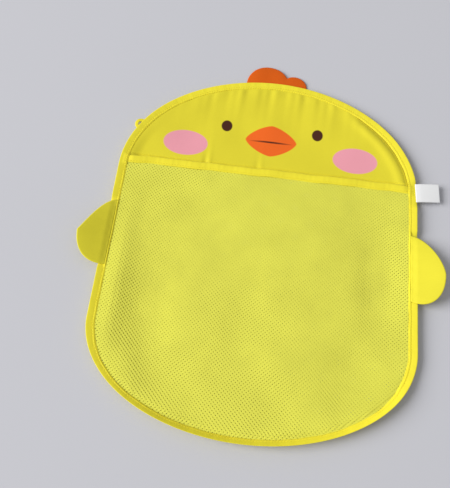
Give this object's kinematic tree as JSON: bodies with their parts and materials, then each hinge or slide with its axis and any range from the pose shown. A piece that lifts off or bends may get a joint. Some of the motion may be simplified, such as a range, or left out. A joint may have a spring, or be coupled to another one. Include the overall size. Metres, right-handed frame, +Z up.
{
  "type": "bath toy organizer",
  "caption": "Flat hanging net bag for bath toys, shaped like a chick, with a cloth face panel, bound net pocket, wings, crest, side label and hanging loops.",
  "frame": {"origin": "middle of the bag's outline, on the underside of the back net, where the bag lies", "axes": "+X across the bag to the side with the label, +Y towards the crest, +Z up out of the face"},
  "size_m": [0.38, 0.435, 0.0145],
  "materials": {
    "yellow_net": "fine polyester net",
    "yellow_cloth": "smooth woven polyester",
    "yellow_tape": "folded woven tape",
    "wing_cloth": "smooth woven polyester",
    "orange_cloth": "smooth woven polyester",
    "white_tape": "smooth woven label tape, bare"
  },
  "bodies": {
    "bag": {"back_net": "yellow_net", "face_panel": "yellow_cloth", "edge_binding": "yellow_tape"},
    "pocket_front": {"front_net": "yellow_net", "mouth_binding": "yellow_tape"},
    "left_wing": {"left_wing_front": "wing_cloth", "left_wing_back": "wing_cloth"},
    "right_wing": {"right_wing_front": "wing_cloth", "right_wing_back": "wing_cloth"},
    "crest": {"crest_front": "orange_cloth", "crest_back": "orange_cloth"},
    "left_loop": {"left_hang_loop": "yellow_tape"},
    "right_loop": {"right_hang_loop": "yellow_tape"},
    "label": {"side_label": "white_tape"}
  },
  "joints": [
    {"name": "pocket_opens", "type": "hinge", "parent": "bag", "child": "pocket_front", "pos_m": [0, -0.1957, 0.0061], "axis": [1, 0, 0], "range_deg": [0, 16]},
    {"name": "left_wing_folds", "type": "hinge", "parent": "bag", "child": "left_wing", "pos_m": [-0.158, -0.007, 0.0076], "axis": [0, -1, 0], "range_deg": [-165, 0]},
    {"name": "right_wing_folds", "type": "hinge", "parent": "bag", "child": "right_wing", "pos_m": [0.158, -0.007, 0.0076], "axis": [0, 1, 0], "range_deg": [-165, 0]},
    {"name": "crest_swings", "type": "hinge", "parent": "bag", "child": "crest", "pos_m": [0, 0.196, 0.00105], "axis": [1, 0, 0], "range_deg": [-170, 0]},
    {"name": "left_loop_swings", "type": "hinge", "parent": "bag", "child": "left_loop", "pos_m": [-0.14138, 0.12614, 0.0009], "axis": [0.5152, 0.857, 0], "range_deg": [-180, 0]},
    {"name": "right_loop_swings", "type": "hinge", "parent": "bag", "child": "right_loop", "pos_m": [0.14138, 0.12614, 0.0009], "axis": [-0.5152, 0.857, 0], "range_deg": [-180, 0]},
    {"name": "label_swings", "type": "hinge", "parent": "bag", "child": "label", "pos_m": [0.163, 0.079, 0.0072], "axis": [0, 1, 0], "range_deg": [-165, 0]}
  ]
}
